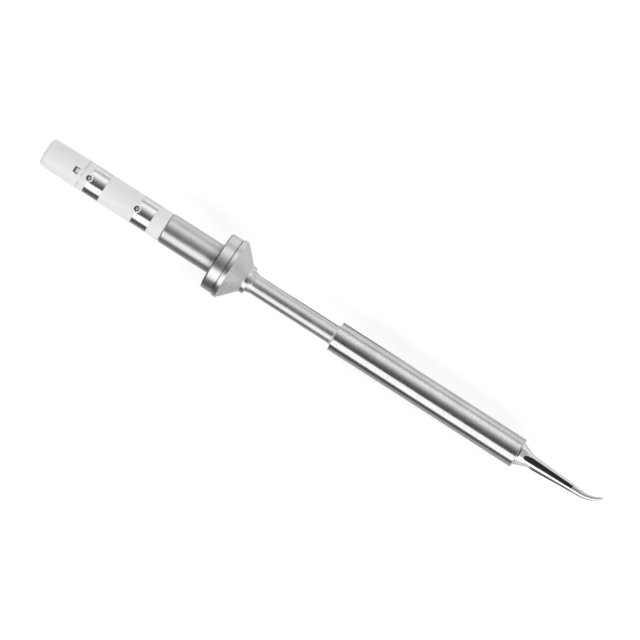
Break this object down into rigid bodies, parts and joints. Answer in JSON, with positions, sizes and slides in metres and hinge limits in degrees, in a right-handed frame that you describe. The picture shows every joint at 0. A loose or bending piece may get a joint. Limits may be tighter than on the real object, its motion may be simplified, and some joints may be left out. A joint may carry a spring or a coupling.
{
  "type": "soldering iron tip",
  "caption": "Slim plug-in soldering tip cartridge with a fine bent point, a heater sleeve, a flanged collar and a white insulated plug end with ring contacts.",
  "frame": {"origin": "on the centre line, in the plane of the collar's rear face, where the cartridge seats in a handle", "axes": "+X along the centre line towards the point, +Y the way the point bends, +Z out of the cap's window and the rings' sight holes"},
  "size_m": [0.11, 0.0108, 0.0108],
  "materials": {
    "white_plastic": "moulded white, satin",
    "contact_metal": "polished nickel plating",
    "shank_steel": "ground stainless, fine rings around",
    "collar_steel": "turned stainless, polished rim and satin cone",
    "neck_steel": "drawn stainless tube",
    "sleeve_steel": "fine ground stainless",
    "bit_plating": "bright plating, tinned at the point",
    "lead_wire": "drawn nickel wire",
    "ceramic": "fired, unglazed",
    "heater_ribbon": "oxidised resistance ribbon"
  },
  "bodies": {
    "root": {"end_cap": "white_plastic", "insulator_body": "white_plastic", "contact_ring_front": "contact_metal", "contact_ring_rear": "contact_metal", "shank": "shank_steel", "collar": "collar_steel", "neck_tube": "neck_steel", "heater_sleeve": "sleeve_steel", "bit": "bit_plating", "heater_lead": "lead_wire", "return_lead": "lead_wire", "lead_insulator": "ceramic", "heater_core": "ceramic", "heater_liner": "ceramic", "heater_coil": "heater_ribbon", "sensor_crimp": "lead_wire"}
  },
  "joints": []
}
